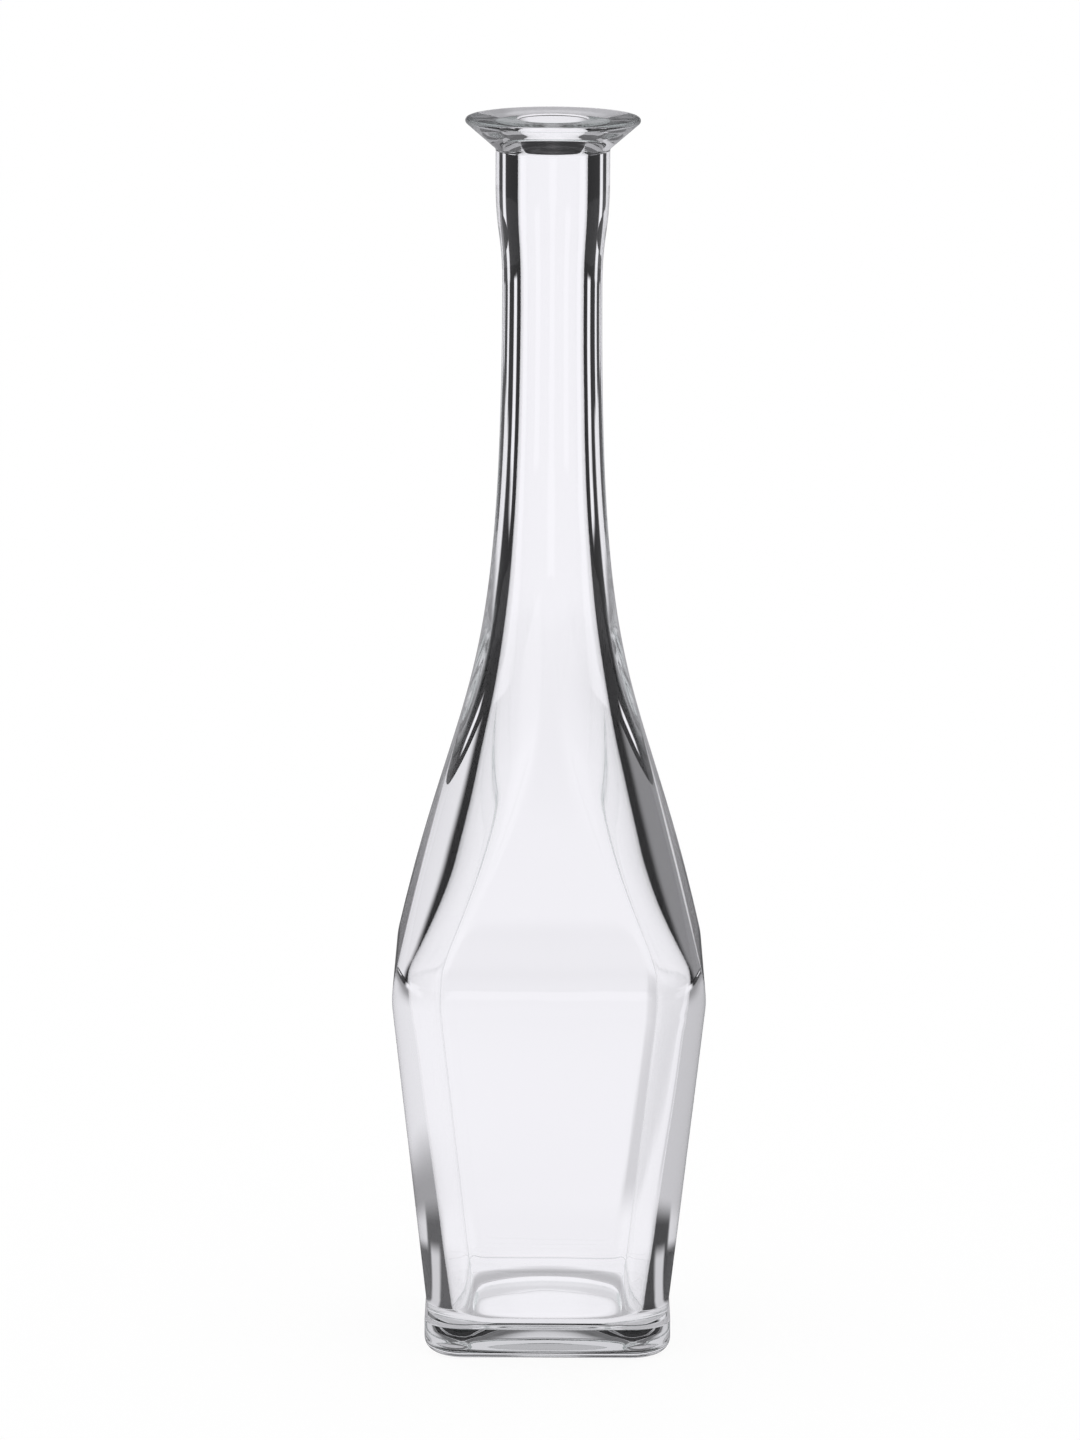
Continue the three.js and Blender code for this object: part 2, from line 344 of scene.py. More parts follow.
lay(arc(floor_centre, FLOOR_FILLET, 0, -RIGHT_ANGLE, steps=10), fillet_corner, RIPPLE)
lay(sweep(floor_edge, *floor_handles, floor_top, steps=14), floor_corner)
print("profile:", len(stations), "stations")

# %% [markdown]
# ## The loft, in Geometry Nodes
# The bottle follows one rule: at every height its section is a square with rounded corners, and the corners
# grow until the section is a circle. A lathe can't make that, and a hand-made loft would fix the number of
# points for good. A node tree can state the rule: a grid with one row for each station and one column for
# each direction, whose points are then pushed out to the rounded square.

# %% Small helpers for building node trees


def add_node(tree, kind, **settings):
    made = tree.nodes.new(kind)
    for name, value in settings.items():
        setattr(made, name, value)
    return made


def feed(tree, socket, value):
    """Links a socket to another socket, or sets it to a plain value."""
    if isinstance(value, bpy.types.NodeSocket):
        tree.links.new(value, socket)
    else:
        socket.default_value = value


def operate(tree, kind, operation, values):
    """Adds a node of arithmetic, fed with its values in order."""
    made = add_node(tree, kind, operation=operation)
    for socket, value in zip(made.inputs, values):
        feed(tree, socket, value)
    return made.outputs[0]


def calc(tree, operation, *values):
    return operate(tree, "ShaderNodeMath", operation, values)


def count(tree, operation, *values):
    return operate(tree, "FunctionNodeIntegerMath", operation, values)


print("helpers:", [helper.__name__ for helper in (add_node, feed, operate, calc, count)])

# %% The loft's inputs
loft = bpy.data.node_groups.new("rounded_square_loft", "GeometryNodeTree")
loft.interface.new_socket("Profile", in_out="INPUT", socket_type="NodeSocketGeometry")
around_input = loft.interface.new_socket("Points around", in_out="INPUT", socket_type="NodeSocketInt")
size_input = loft.interface.new_socket("Ripple size", in_out="INPUT", socket_type="NodeSocketFloat")
seed_input = loft.interface.new_socket("Seed", in_out="INPUT", socket_type="NodeSocketFloat")
glass_input = loft.interface.new_socket("Glass", in_out="INPUT", socket_type="NodeSocketMaterial")
loft.interface.new_socket("Bottle", in_out="OUTPUT", socket_type="NodeSocketGeometry")
given = add_node(loft, "NodeGroupInput").outputs
print("loft inputs:", [socket.name for socket in given if socket.name])

# %% A grid with a row for each station
index = add_node(loft, "GeometryNodeInputIndex").outputs[0]
domain = add_node(loft, "GeometryNodeAttributeDomainSize", component="MESH")
feed(loft, domain.inputs[0], given["Profile"])
columns = count(loft, "ADD", given["Points around"], 1)
row = count(loft, "DIVIDE_FLOOR", index, columns)
column = count(loft, "MODULO", index, columns)
grid = add_node(loft, "GeometryNodeMeshGrid")
feed(loft, grid.inputs["Vertices X"], domain.outputs["Point Count"])
feed(loft, grid.inputs["Vertices Y"], columns)


def at_station(data_type, field):
    """Reads a value of the profile at the station of this row."""
    made = add_node(loft, "GeometryNodeSampleIndex", data_type=data_type, domain="POINT")
    feed(loft, made.inputs["Geometry"], given["Profile"])
    feed(loft, made.inputs["Value"], field)
    feed(loft, made.inputs["Index"], row)
    return made.outputs[0]


def noted(name):
    """Reads what the station of this row notes under a name."""
    made = add_node(loft, "GeometryNodeInputNamedAttribute", data_type="FLOAT")
    made.inputs["Name"].default_value = name
    return at_station("FLOAT", made.outputs["Attribute"])


place = add_node(loft, "GeometryNodeInputPosition").outputs[0]
split = add_node(loft, "ShaderNodeSeparateXYZ")
feed(loft, split.inputs[0], at_station("FLOAT_VECTOR", place))
half, height = split.outputs["X"], split.outputs["Z"]
corner, ripple = noted("corner"), noted("ripple")
print("grid and stations:", len(loft.nodes), "nodes")

# %% How far the rounded square reaches in each direction
FLANKS = 4.0

turn = calc(loft, "DIVIDE", column, given["Points around"])
angle = calc(loft, "MULTIPLY", turn, 2 * math.pi)
quarter = calc(loft, "ROUND", calc(loft, "MULTIPLY", turn, FLANKS))
facing = calc(loft, "MULTIPLY", quarter, RIGHT_ANGLE)
folded = calc(loft, "ABSOLUTE", calc(loft, "SUBTRACT", angle, facing))
cosine, sine = calc(loft, "COSINE", folded), calc(loft, "SINE", folded)
flat = calc(loft, "SUBTRACT", half, corner)
lean = calc(loft, "MULTIPLY", flat, calc(loft, "SUBTRACT", cosine, sine))
corner_squared = calc(loft, "MULTIPLY", corner, corner)
inside_root = calc(loft, "SUBTRACT", corner_squared, calc(loft, "MULTIPLY", lean, lean))
round_part = calc(loft, "SQRT", calc(loft, "MAXIMUM", inside_root, 0.0))
straight_part = calc(loft, "MULTIPLY", flat, calc(loft, "ADD", cosine, sine))
corner_reach = calc(loft, "ADD", straight_part, round_part)
flat_reach = calc(loft, "DIVIDE", half, cosine)
across_flat = calc(loft, "MULTIPLY", half, sine)
past_flat = calc(loft, "GREATER_THAN", across_flat, calc(loft, "MULTIPLY", flat, cosine))
chosen = add_node(loft, "GeometryNodeSwitch", input_type="FLOAT")
feed(loft, chosen.inputs["Switch"], past_flat)
feed(loft, chosen.inputs["False"], flat_reach)
feed(loft, chosen.inputs["True"], corner_reach)
reach = chosen.outputs[0]
print("with the reach:", len(loft.nodes), "nodes")

# %% Push the points out, with the ripple of the blown skin
NOISE_MIDDLE = 0.5


def spread(distance, up):
    """A point at a distance from the axis, in this column's direction."""
    made = add_node(loft, "ShaderNodeCombineXYZ")
    feed(loft, made.inputs["X"], calc(loft, "MULTIPLY", distance, calc(loft, "COSINE", angle)))
    feed(loft, made.inputs["Y"], calc(loft, "MULTIPLY", distance, calc(loft, "SINE", angle)))
    feed(loft, made.inputs["Z"], up)
    return made.outputs[0]


noise = add_node(loft, "ShaderNodeTexNoise", noise_dimensions="4D")
feed(loft, noise.inputs["Vector"], spread(reach, height))
feed(loft, noise.inputs["W"], given["Seed"])
feed(loft, noise.inputs["Scale"], calc(loft, "DIVIDE", 1.0, given["Ripple size"]))
noise.inputs["Detail"].default_value = 1.0
swing = calc(loft, "MULTIPLY", ripple, calc(loft, "SUBTRACT", noise.outputs[0], NOISE_MIDDLE))
moved = add_node(loft, "GeometryNodeSetPosition")
feed(loft, moved.inputs["Geometry"], grid.outputs["Mesh"])
feed(loft, moved.inputs["Position"], spread(calc(loft, "ADD", reach, swing), height))
print("with the ripple:", len(loft.nodes), "nodes")

# %% Close the seam and the poles, and dress the skin
SAME_POINT = 0.001 * MM

closed = add_node(loft, "GeometryNodeMergeByDistance")
feed(loft, closed.inputs["Geometry"], moved.outputs[0])
closed.inputs["Distance"].default_value = SAME_POINT
outward = add_node(loft, "GeometryNodeFlipFaces")
feed(loft, outward.inputs["Mesh"], closed.outputs[0])
smooth = add_node(loft, "GeometryNodeSetShadeSmooth")
feed(loft, smooth.inputs["Geometry"], outward.outputs[0])
real = add_node(loft, "GeometryNodeRealizeInstances")
feed(loft, real.inputs["Geometry"], smooth.outputs[0])
dressed = add_node(loft, "GeometryNodeSetMaterial")
feed(loft, dressed.inputs["Geometry"], real.outputs[0])
feed(loft, dressed.inputs["Material"], given["Glass"])
feed(loft, add_node(loft, "NodeGroupOutput").inputs[0], dressed.outputs[0])
print("loft tree:", len(loft.nodes), "nodes")

# %% [markdown]
# ## The glass
# Bottle glass is clear where it is thin and grey-green where light runs a long way inside it. A tint on the
# surface would colour thin and thick glass alike, so the surface stays white and fully clear, and a Volume
# Absorption takes a little red and blue away for every millimetre of glass. Mould and fire leave the skin
# not quite even: one noise, drawn out along the bottle, gives it a faint bump and a trace of haze.

# %% Clear glass
GLASS_INDEX = 1.52
GLASS_TINT = (0.88, 0.925, 0.91, 1.0)
GLASS_DENSITY = 4.0
WHITE = (1.0, 1.0, 1.0, 1.0)

glass = bpy.data.materials.new("clear_glass")
glass.use_nodes = True
shade = glass.node_tree
surface = shade.nodes["Principled BSDF"]
surface.inputs["Base Color"].default_value = WHITE
surface.inputs["IOR"].default_value = GLASS_INDEX
surface.inputs["Transmission Weight"].default_value = 1.0
absorb = add_node(shade, "ShaderNodeVolumeAbsorption")
absorb.inputs["Color"].default_value = GLASS_TINT
absorb.inputs["Density"].default_value = GLASS_DENSITY
shade.links.new(absorb.outputs[0], shade.nodes["Material Output"].inputs["Volume"])
print("glass: index", GLASS_INDEX)

# %% Skin of the glass
SKIN_SIZE = 12 * MM
SKIN_STRETCH = 3.0
SKIN_DEPTH = 0.03 * MM
HAZE = 0.01
HAZE_BAND = (0.4, 0.7)


def ramp(tree, value, band, low, high):
    """Runs smoothly from a low to a high tone while a value crosses a band."""
    made = add_node(tree, "ShaderNodeMapRange", interpolation_type="SMOOTHSTEP")
    settings = {"Value": value, "From Min": band[0], "From Max": band[1], "To Min": low, "To Max": high}
    for name, setting in settings.items():
        feed(tree, made.inputs[name], setting)
    return made.outputs["Result"]


spot = add_node(shade, "ShaderNodeVectorMath", operation="MULTIPLY")
feed(shade, spot.inputs[0], add_node(shade, "ShaderNodeTexCoord").outputs["Object"])
feed(shade, spot.inputs[1], (1.0, 1.0, 1.0 / SKIN_STRETCH))
skin = add_node(shade, "ShaderNodeTexNoise")
feed(shade, skin.inputs["Vector"], spot.outputs[0])
feed(shade, skin.inputs["Scale"], 1.0 / SKIN_SIZE)
feed(shade, skin.inputs["Detail"], 1.0)
bump = add_node(shade, "ShaderNodeBump")
feed(shade, bump.inputs["Height"], skin.outputs[0])
feed(shade, bump.inputs["Distance"], SKIN_DEPTH)
feed(shade, surface.inputs["Normal"], bump.outputs[0])
feed(shade, surface.inputs["Roughness"], ramp(shade, skin.outputs[0], HAZE_BAND, 0.0, HAZE))
print("skin:", len(shade.nodes), "nodes in the glass")

# %% [markdown]
# ## Make the bottle
# The stations become a thin line of points with their notes as attributes, and the loft turns the line into
# the glass. The modifier could stay live, but a finished piece is simpler to hand on as a plain mesh. So the
# evaluated result is copied into a new object, and the line goes away with its modifier.

# %% The profile line
profile = bpy.data.meshes.new("bottle_profile")
links = [(i, i + 1) for i in range(len(stations) - 1)]
profile.from_pydata([(s[0], 0.0, s[1]) for s in stations], links, [])
for number, name in ((2, "corner"), (3, "ripple")):
    values = profile.attributes.new(name, "FLOAT", "POINT")
    values.data.foreach_set("value", [s[number] for s in stations])
draft = bpy.data.objects.new("bottle_draft", profile)
bpy.context.scene.collection.objects.link(draft)
print("profile line:", len(profile.vertices), "points,", len(profile.edges), "edges")

# %% The bottle as a plain mesh
POINTS_AROUND = 256
RIPPLE_SIZE = 22 * MM
RIPPLE_SEED = 4.0

lofted = draft.modifiers.new("loft", "NODES")
lofted.node_group = loft
lofted[around_input.identifier] = POINTS_AROUND
lofted[size_input.identifier] = RIPPLE_SIZE
lofted[seed_input.identifier] = RIPPLE_SEED
lofted[glass_input.identifier] = glass
draft.update_tag()
bpy.context.view_layer.update()
evaluated = draft.evaluated_get(bpy.context.evaluated_depsgraph_get())
bottle = bpy.data.objects.new("glass_body", bpy.data.meshes.new_from_object(evaluated))
bpy.data.objects.remove(draft)
bpy.context.scene.collection.objects.link(bottle)
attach(bottle, "root")
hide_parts("glass_bottle")
print("bottle:", len(bottle.data.vertices), "points,", len(bottle.data.polygons), "faces,",
      bottle.data.materials[:])

# %% [markdown]
# ## The camera
# The photograph looks down on the bottle by about twelve degrees through a long lens, from far enough away
# that the sides of the bottle hardly converge. The bottle stands a quarter of a degree out of true in the
# picture, which is the camera's roll and not the bottle's, so the camera takes it.

# %% Camera at the photograph's angle
CAMERA_BACK = 1.7078
CAMERA_HEIGHT = 0.5201
CAMERA_PITCH = math.radians(12.05)
CAMERA_YAW = math.radians(0.138)
CAMERA_ROLL = math.radians(-0.25)
CAMERA_LENS = 176.9

camera_data = bpy.data.cameras.new("camera")
camera_data.lens = CAMERA_LENS
camera = bpy.data.objects.new("camera", camera_data)
camera.location = (0.0, -CAMERA_BACK, CAMERA_HEIGHT)
camera.rotation_euler = (RIGHT_ANGLE - CAMERA_PITCH, CAMERA_ROLL, CAMERA_YAW)
bpy.context.scene.collection.objects.link(camera)
bpy.context.scene.camera = camera
print("camera:", CAMERA_LENS, "mm lens,", CAMERA_BACK, "m in front of the bottle")

# %% [markdown]
# ## What the glass can see
# Clear glass has no look of its own: it shows the room. In a bright studio the paper behind the bottle comes
# straight through its panes, and the dark edges that draw the bottle are black cards at the sides, which
# reach the lens only by a reflection inside the wall. The cards could be real, but then a view from
# another side would have one of them right behind the bottle. So no cards stand in the scene: they are
# painted reflections, dark tones on the paper and the sky, and the paper and the sky ask Light Path how a
# ray came: straight through, by a mirror off the front, or by a reflection inside the wall. Where the
# painted cards stand depends on the bearing round the bottle, which paper and sky share as a node group.

# %% Bearings round the bottle, as a shared node group
# The cards are painted reflections, dark tones placed by bearing; no card stands in the scene.
MANY_CARDS = 8.0
FEW_CARDS = 4.0

bearings = bpy.data.node_groups.new("bearings_round_bottle", "ShaderNodeTree")
bearings.interface.new_socket("Place", in_out="INPUT", socket_type="NodeSocketVector")
for name in ("Many cards", "Few cards", "Right side"):
    bearings.interface.new_socket(name, in_out="OUTPUT", socket_type="NodeSocketFloat")
bearing_split = add_node(bearings, "ShaderNodeSeparateXYZ")
feed(bearings, bearing_split.inputs[0], add_node(bearings, "NodeGroupInput").outputs["Place"])
bearing = calc(bearings, "ARCTAN2", bearing_split.outputs["Y"], bearing_split.outputs["X"])
bearings_out = add_node(bearings, "NodeGroupOutput").inputs
for name, cards in (("Many cards", MANY_CARDS), ("Few cards", FEW_CARDS)):
    feed(bearings, bearings_out[name], calc(bearings, "COSINE", calc(bearings, "MULTIPLY", bearing, cards)))
feed(bearings, bearings_out["Right side"], calc(bearings, "COSINE", bearing))


def bearings_at(tree, place):
    """Waves of many and of few painted cards round the bottle, and how far to the right a place lies."""
    made = add_node(tree, "ShaderNodeGroup")
    made.node_tree = bearings
    feed(tree, made.inputs["Place"], place)
    return [made.outputs[name] for name in ("Many cards", "Few cards", "Right side")]


print("bearings:", len(bearings.nodes), "nodes")

# %% How a ray came
AT_LEAST_ONCE = 0.5
AT_MOST_ONCE = 1.5
AT_MOST_THRICE = 3.5
ACROSS_TONE = 0.8


def blend(tree, share, first, second):
    made = add_node(tree, "ShaderNodeMix", data_type="FLOAT")
    feed(tree, made.inputs[0], share)
    feed(tree, made.inputs[2], first)
    feed(tree, made.inputs[3], second)
    return made.outputs[0]


def ray_kinds(tree):
    """Masks by how a ray came: through the panes, off the front, inside a wall, or across the bottle.
    The last two masks say whether it met one wall only, and whether it was reflected only once."""
    path = add_node(tree, "ShaderNodeLightPath").outputs
    passed = calc(tree, "GREATER_THAN", path["Transmission Depth"], AT_LEAST_ONCE)
    mirrored = calc(tree, "GREATER_THAN", path["Glossy Depth"], AT_LEAST_ONCE)
    near_wall = calc(tree, "LESS_THAN", path["Transmission Depth"], AT_MOST_THRICE)
    once = calc(tree, "LESS_THAN", path["Glossy Depth"], AT_MOST_ONCE)
    inside_wall = calc(tree, "MULTIPLY", calc(tree, "MULTIPLY", passed, mirrored), near_wall)
    front = calc(tree, "MULTIPLY", mirrored, calc(tree, "SUBTRACT", 1.0, passed))
    through = calc(tree, "MULTIPLY", passed, calc(tree, "SUBTRACT", 1.0, mirrored))
    across = calc(tree, "SUBTRACT", calc(tree, "SUBTRACT", passed, through), inside_wall)
    # Painted shade: rays across the bottle that were reflected more than once see the studio a little darker.
    across = calc(tree, "MULTIPLY", across, blend(tree, once, ACROSS_TONE, 1.0))
    return SimpleNamespace(camera=path["Is Camera Ray"], glossy=path["Is Glossy Ray"],
                           transmitted=path["Is Transmission Ray"], through=through, front=front,
                           inside_wall=inside_wall, across=across, near_wall=near_wall, once=once)


print("one wall: at most", int(AT_MOST_THRICE), "passes through a surface")

# %% [markdown]
# ## The paper
# The bottle stands on a large sheet of white paper, which is all that lies under and far behind it. A camera
# ray sees it white, with a small share of plain matt paper mixed in, so that the bottle's shadow stays. What
# the glass shows of the paper is a set of painted tones by the distance from the bottle: painted shade and
# painted reflections. They could be painted on the sheet, but then the camera would see them as well, so
# each tone is given to one kind of ray alone.

# %% Sheet of white paper
FLOOR_SIZE = 12.0

side = FLOOR_SIZE / 2
floor_corners = [(-side, -side, 0), (side, -side, 0), (side, side, 0), (-side, side, 0)]
floor_mesh = bpy.data.meshes.new("floor")
floor_mesh.from_pydata(floor_corners, [], [(0, 1, 2, 3)])
floor = bpy.data.objects.new("floor", floor_mesh)
bpy.context.scene.collection.objects.link(floor)
paper = bpy.data.materials.new("white_paper")
paper.use_nodes = True
floor_mesh.materials.append(paper)
sheet = paper.node_tree
matt = sheet.nodes["Principled BSDF"]
matt.inputs["Base Color"].default_value = WHITE
matt.inputs["Roughness"].default_value = 1.0
matt.inputs["Specular IOR Level"].default_value = 0.0
print("paper:", FLOOR_SIZE, "m square")

# %% Where a ray meets the paper, and how it came there
LEFT_TO_RIGHT = (-0.3, 0.3)

rays = ray_kinds(sheet)
where = add_node(sheet, "ShaderNodeTexCoord").outputs["Object"]
length = add_node(sheet, "ShaderNodeVectorMath", operation="LENGTH")
feed(sheet, length.inputs[0], where)
distance = length.outputs["Value"]
many_cards, few_cards, right_side = bearings_at(sheet, where)


def beyond(band):
    """A mask that rises from 0 to 1 while the distance from the bottle's axis crosses a band."""
    return ramp(sheet, distance, band, 0.0, 1.0)


def step_out(band, near, far):
    """A near tone up to a band of distance and a far tone past it."""
    return blend(sheet, beyond(band), near, far)


print("ray masks on the paper:", sorted(vars(rays)))

# %% [markdown]
# ## Paper seen through the panes
# Straight through the flat panes the paper is near white, with painted shade that makes it a touch darker
# near the bottle. A grey ring of painted shade lies under the edge of the base, where the real bottle shades
# the table that it stands on, and it draws the floor's outline. The paper out to the right of the bottle is a
# little darker, a painted shade which gives the right edge its soft streaks.

# %% Tones for rays straight through
# Painted shade: the grey ring under the base and the paper a touch darker near the bottle.
PANE_STOPS = ((0.0, 0.97), (0.018, 0.97), (0.022, 0.4), (0.030, 0.4), (0.034, 0.97),
              (0.25, 0.97), (0.42, 0.93), (0.8, 1.0))
RIGHT_EDGE = (0.1, 0.3)
STREAK_WAVE = (-0.9, 0.1)
STREAK_TONE = 0.7
STREAK_START = (0.09, 0.13)
STREAK_END = (0.2, 0.6)


def tones(tree, value, stops):
    """A tone for each value, read off a row of (value, tone) stops."""
    made = add_node(tree, "ShaderNodeValToRGB")
    last = stops[-1][0]
    bar = made.color_ramp.elements
    while len(bar) < len(stops):
        bar.new(0.5)
    for mark, (stop, tone) in zip(bar, stops):
        mark.position = stop / last
        mark.color = (tone, tone, tone, 1.0)
    feed(tree, made.inputs[0], calc(tree, "DIVIDE", value, last))
    return made.outputs[0]


pane_tone = tones(sheet, distance, PANE_STOPS)
# Painted shade: streaks of darker paper to the right of the bottle, seen only through the panes.
streaks = ramp(sheet, many_cards, STREAK_WAVE, STREAK_TONE, 1.0)
streaks = blend(sheet, ramp(sheet, right_side, RIGHT_EDGE, 0.0, 1.0), 1.0, streaks)
streaks = step_out(STREAK_END, step_out(STREAK_START, 1.0, streaks), 1.0)
through_tone = calc(sheet, "MULTIPLY", pane_tone, streaks)
print("pane tones:", len(PANE_STOPS), "stops")

# %% [markdown]
# ## Paper seen by a reflection in the wall
# A ray that is reflected inside the wall can meet the paper close to the foot or far out. Close by, dark
# tones between greys are painted shade that draws the lower corners of the body. Far out, painted black
# cards with white gaps are painted reflections that draw the long lines of the neck: four wide gaps, then
# eight, then four slim ones. A single dark tone would also draw dark lines, but with no light between them,
# and the glass would look like black wire.

# %% Close to the foot
FOOT_DARK_LEFT = 0.1
FOOT_DARK_RIGHT = 0.04
UNDER_FOOT_TONE = 0.85
FOOT_START = (0.036, 0.046)
FOOT_NEAR_WAVE = (-0.1, 0.7)
FOOT_NEAR_TONE = 0.65
FOOT_MIDDLE = (0.072, 0.082)
FOOT_FAR_WAVE = (0.1, 0.6)
FOOT_FAR_TONE = 0.75

# Painted shade: dark tones round the foot that darken the lower corners of the body.
foot_dark = ramp(sheet, right_side, LEFT_TO_RIGHT, FOOT_DARK_LEFT, FOOT_DARK_RIGHT)
foot_near = blend(sheet, ramp(sheet, many_cards, FOOT_NEAR_WAVE, 0.0, 1.0), foot_dark, FOOT_NEAR_TONE)
foot_far = blend(sheet, ramp(sheet, few_cards, FOOT_FAR_WAVE, 0.0, 1.0), FOOT_FAR_TONE, foot_dark)
foot_tone = step_out(FOOT_START, UNDER_FOOT_TONE, step_out(FOOT_MIDDLE, foot_near, foot_far))
print("foot tones from", FOOT_START[0], "m out")

# %% Beside the bottle
BESIDE_START = (0.09, 0.105)
BESIDE_MIDDLE = (0.11, 0.15)
BESIDE_RIGHT = 0.6
BESIDE_NEAR_LEFT = 0.35
BESIDE_FAR_LEFT = 0.85
PLAIN_START = (0.3, 0.55)
PLAIN_TONE = 0.3

# Painted reflection: grey tones on the paper beside the bottle, seen only by a reflection inside the wall.
beside_near = ramp(sheet, right_side, LEFT_TO_RIGHT, BESIDE_NEAR_LEFT, BESIDE_RIGHT)
beside_far = ramp(sheet, right_side, LEFT_TO_RIGHT, BESIDE_FAR_LEFT, BESIDE_RIGHT)
beside_tone = step_out(BESIDE_START, foot_tone, step_out(BESIDE_MIDDLE, beside_near, beside_far))
near_tone = step_out(PLAIN_START, beside_tone, PLAIN_TONE)
print("plain grey from", PLAIN_START[1], "m out")

# %% Painted cards far out
PAINTED_CARD_TONE = 0.01
CARDS_START = (0.6, 0.8)
WIDE_GAPS = (0.1, 0.7)
WIDE_GAPS_END = (1.25, 1.4)
EIGHT_GAPS = (0.2, 0.8)
EIGHT_GAPS_END = (1.8, 1.95)
SLIM_GAPS = (0.55, 0.95)

# Painted reflections: dark cards with light gaps, seen only by a reflection inside the wall.
wide_gaps = ramp(sheet, few_cards, WIDE_GAPS, PAINTED_CARD_TONE, 1.0)
eight_gaps = ramp(sheet, many_cards, EIGHT_GAPS, PAINTED_CARD_TONE, 1.0)
slim_gaps = ramp(sheet, few_cards, SLIM_GAPS, PAINTED_CARD_TONE, 1.0)
painted_far_cards = step_out(WIDE_GAPS_END, wide_gaps, step_out(EIGHT_GAPS_END, eight_gaps, slim_gaps))
once_tone = step_out(CARDS_START, near_tone, painted_far_cards)
print("cards from", CARDS_START[1], "m out")

# %% After more reflections, and off the front
OFTEN_BAND = (0.036, 0.042)
OFTEN_NEAR = 0.7
OFTEN_FAR = 0.15
FRONT_BAND = (0.4, 0.9)
FRONT_NEAR = 0.1
FRONT_FAR = 0.35

# Painted shade: the paper is darker for rays reflected more than once inside the wall.
often_tone = ramp(sheet, distance, OFTEN_BAND, OFTEN_NEAR, OFTEN_FAR)
wall_tone = blend(sheet, rays.once, often_tone, once_tone)
# Painted reflection: the paper seen by a mirror off the front is dim.
front_tone = ramp(sheet, distance, FRONT_BAND, FRONT_NEAR, FRONT_FAR)
print("paper so far:", len(sheet.nodes), "nodes")

# %% Add the paper's tones up
COOL_WHITE = (0.965, 0.955, 1.0, 1.0)
SHADOW_SHARE = 0.08


def add_up(tree, total, *parts):
    """Adds each mask times its tone to a first value."""
    for mask, tone in parts:
        total = calc(tree, "MULTIPLY_ADD", mask, tone, total)
    return total


def blend_colours(tree, share, first, second):
    made = add_node(tree, "ShaderNodeMix", data_type="RGBA")
    feed(tree, made.inputs[0], share)
    feed(tree, made.inputs[6], first)
    feed(tree, made.inputs[7], second)
    return made.outputs[2]


# The glow gives the painted tones to glass rays alone; a camera ray sees plain white paper.
glow = add_node(sheet, "ShaderNodeEmission")
feed(sheet, glow.inputs["Color"], blend_colours(sheet, rays.camera, COOL_WHITE, WHITE))
feed(sheet, glow.inputs["Strength"], add_up(
    sheet, rays.camera, (rays.across, 1.0), (rays.through, through_tone),
    (rays.front, front_tone), (rays.inside_wall, wall_tone)))
seen = calc(sheet, "MAXIMUM", rays.camera, calc(sheet, "MAXIMUM", rays.glossy, rays.transmitted))
shadow_part = calc(sheet, "MULTIPLY", rays.camera, SHADOW_SHARE)
mixed = add_node(sheet, "ShaderNodeMixShader")
feed(sheet, mixed.inputs[0], calc(sheet, "SUBTRACT", seen, shadow_part))
feed(sheet, mixed.inputs[1], matt.outputs[0])
feed(sheet, mixed.inputs[2], glow.outputs[0])
feed(sheet, sheet.nodes["Material Output"].inputs["Surface"], mixed.outputs[0])
print("paper:", len(sheet.nodes), "nodes")

# %% [markdown]
# ## The sky
# All round and above the paper is a plain white studio, and the world gives matt surfaces its full white
# light. Lamps could light the bottle too, but each would leave its own bright spot on the glass. The glass
# sees the studio as painted reflections, given to glass rays alone: a bright horizon and a bright ceiling
# with a dark band between them. By a reflection inside the wall it sees painted tall black cards, with
# painted light between them that is brighter on the left.

# %% Horizon and ceiling
HORIZON_BAND = (0.08, 0.14)
HORIZON_TONE = 1.0
BAND_TONE = 0.03
CEILING_BAND = (0.52, 0.62)
CEILING_TONE = 0.95
FRONT_SHARE = 0.3

world = bpy.data.worlds.new("studio")
bpy.context.scene.world = world
world.use_nodes = True
sky = world.node_tree
sky.nodes.clear()
rays = ray_kinds(sky)
aim = add_node(sky, "ShaderNodeTexCoord").outputs["Generated"]
aim_split = add_node(sky, "ShaderNodeSeparateXYZ")
feed(sky, aim_split.inputs[0], aim)
rise = aim_split.outputs["Z"]
# Painted reflection: horizon, dark band and ceiling are seen only by glass rays; the front mirror sees them
# dimmer.
horizon = ramp(sky, rise, HORIZON_BAND, HORIZON_TONE, BAND_TONE)
ceiling = ramp(sky, rise, CEILING_BAND, 0.0, CEILING_TONE)
open_sky = calc(sky, "ADD", horizon, ceiling)
through_sky = blend(sky, rays.near_wall, 1.0, open_sky)
front_sky = calc(sky, "MULTIPLY", open_sky, FRONT_SHARE)
print("sky so far:", len(sky.nodes), "nodes")
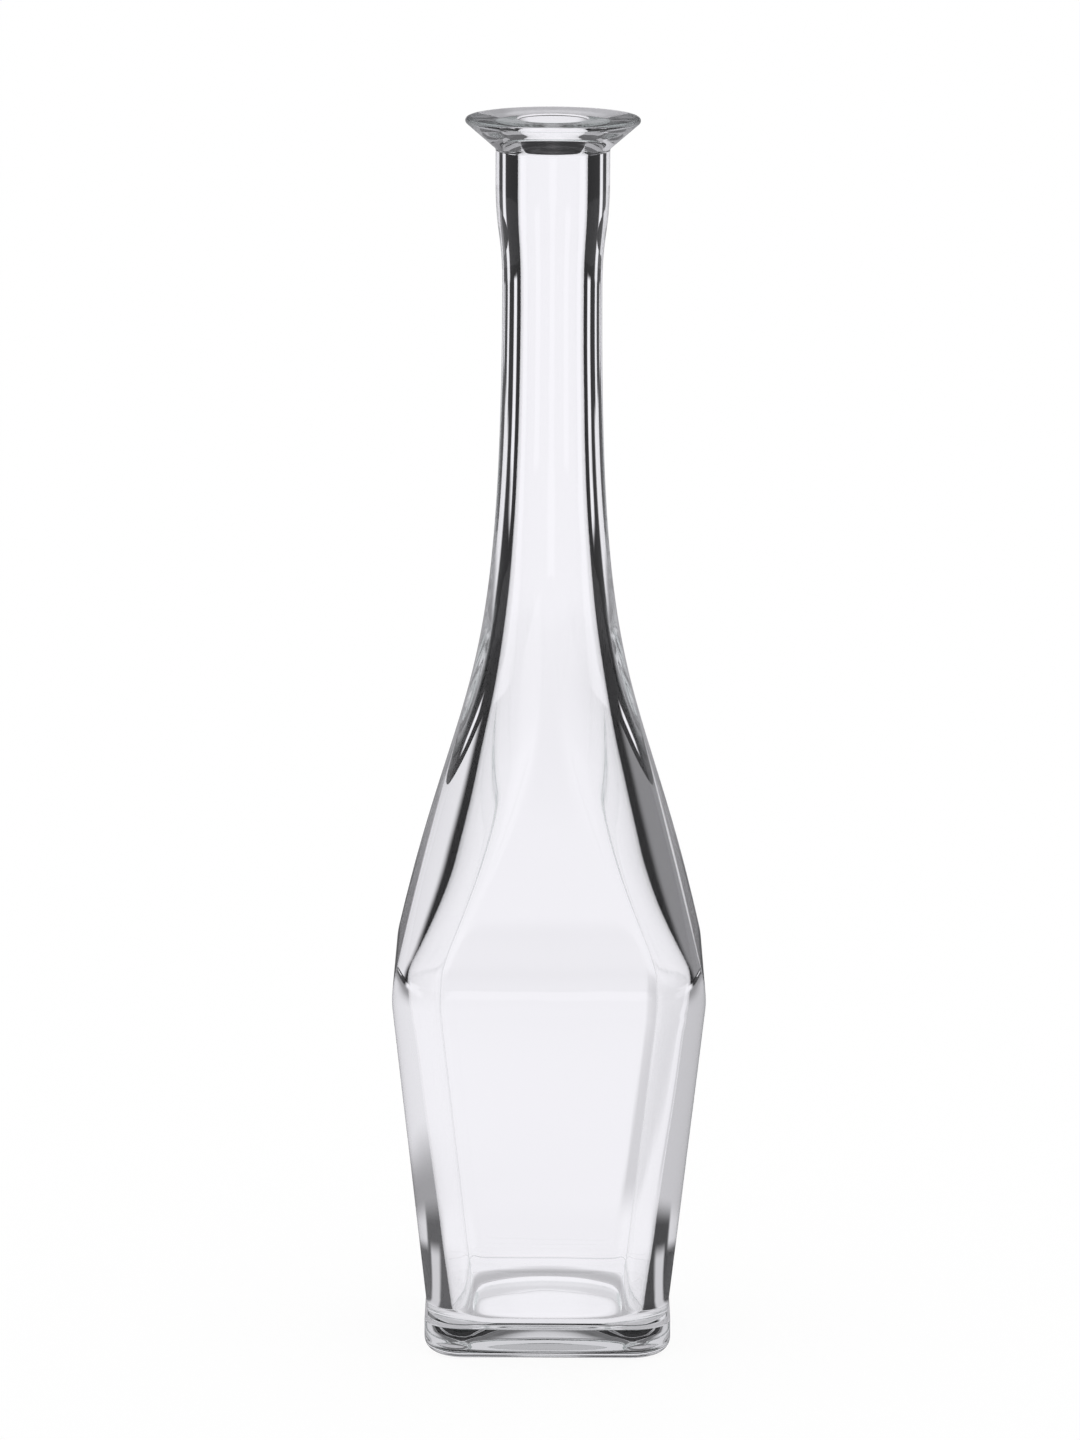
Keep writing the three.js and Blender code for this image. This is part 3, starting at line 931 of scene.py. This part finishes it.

# %% Tall painted cards, seen by a reflection in the wall
SIDE_LIGHT_LEFT = 0.85
SIDE_LIGHT_RIGHT = 0.24
TALL_CARD_WAVE = (-0.8, 0.0)
PAINTED_TALL_CARD_TONE = 0.004
TALL_CARD_TOP = (0.75, 0.9)
TOP_BAND = (0.9, 0.96)
TOP_EDGE_TONE = 0.45
TOP_TONE = 0.9
OFTEN_RISE = (0.55, 0.65)
OFTEN_LOW = 0.5
OFTEN_HIGH = 0.05

few_cards, right_side = bearings_at(sky, aim)[1:]
# Painted reflections: tall dark cards with painted light between them, brighter on the left, seen only by a
# reflection inside the wall.
side_light = ramp(sky, right_side, LEFT_TO_RIGHT, SIDE_LIGHT_LEFT, SIDE_LIGHT_RIGHT)
painted_tall_cards = ramp(sky, few_cards, TALL_CARD_WAVE, side_light, PAINTED_TALL_CARD_TONE)
top_light = ramp(sky, rise, TOP_BAND, TOP_EDGE_TONE, TOP_TONE)
once_sky = blend(sky, ramp(sky, rise, TALL_CARD_TOP, 0.0, 1.0), painted_tall_cards, top_light)
# Painted shade: rays reflected more than once inside the wall see the sky darker higher up.
often_sky = ramp(sky, rise, OFTEN_RISE, OFTEN_LOW, OFTEN_HIGH)
wall_sky = blend(sky, rays.once, often_sky, once_sky)
print("tall cards up to a rise of", TALL_CARD_TOP[0])

# %% Add the sky's tones up
FILL = 1.0

level = add_up(
    sky, rays.across, (rays.through, through_sky), (rays.front, front_sky), (rays.inside_wall, wall_sky))
seen = calc(sky, "MAXIMUM", rays.glossy, rays.transmitted)
backing = add_node(sky, "ShaderNodeBackground")
feed(sky, backing.inputs["Color"], blend_colours(sky, seen, WHITE, COOL_WHITE))
feed(sky, backing.inputs["Strength"], blend(sky, rays.camera, blend(sky, seen, FILL, level), 1.0))
feed(sky, add_node(sky, "ShaderNodeOutputWorld").inputs["Surface"], backing.outputs[0])
print("sky:", len(sky.nodes), "nodes")

# %% [markdown]
# ## Light that stays in the wall
# Light that enters the rim of a bottle can go to and fro inside the wall many times before it comes out, and
# a path that is cut short turns black. So the glass gets many more bounces than a plain scene needs. The
# Standard view keeps the white of the paper at the value that it is written with.

# %% Bounces and view
WALL_BOUNCES = 64

scene = bpy.context.scene
scene.view_settings.view_transform = "Standard"
scene.cycles.max_bounces = 2 * WALL_BOUNCES
scene.cycles.glossy_bounces = WALL_BOUNCES
scene.cycles.transmission_bounces = WALL_BOUNCES
print("bounces inside the wall:", WALL_BOUNCES)
